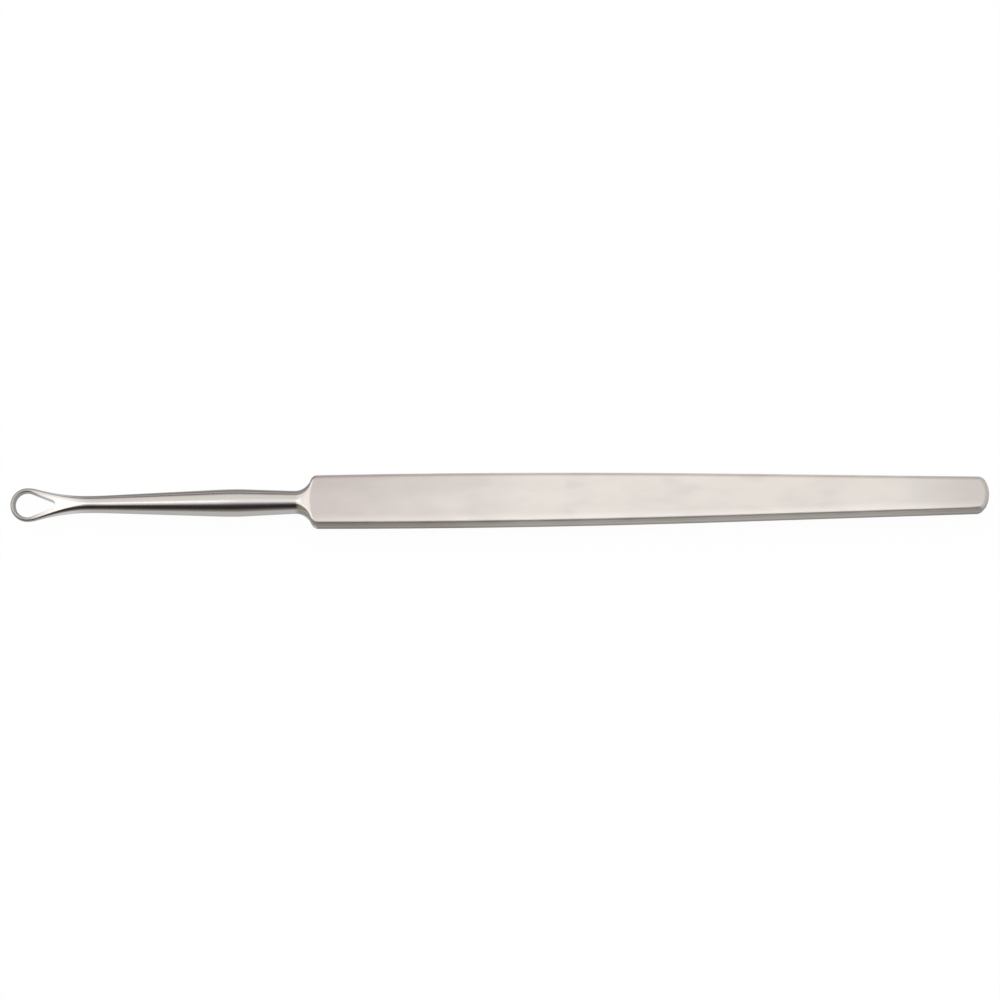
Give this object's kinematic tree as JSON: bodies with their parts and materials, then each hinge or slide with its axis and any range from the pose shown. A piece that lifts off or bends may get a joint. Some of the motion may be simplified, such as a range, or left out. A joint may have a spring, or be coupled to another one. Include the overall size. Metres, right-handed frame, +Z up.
{
  "type": "curette",
  "caption": "One-piece steel ring curette: flat tapered handle, round swelling shank and a teardrop ring tip for scraping small growths off the skin",
  "frame": {"origin": "centre of the footprint, on the surface that the handle's flat underside rests on", "axes": "+X along the instrument from the ring to the handle's rear end, +Z up out of the handle's flat upper face, +Y across"},
  "size_m": [0.145, 0.0078, 0.0041],
  "materials": {
    "steel": "satin ground handle faces, polished edges, shank and ring"
  },
  "bodies": {
    "root": {"curette": "steel"}
  },
  "joints": []
}
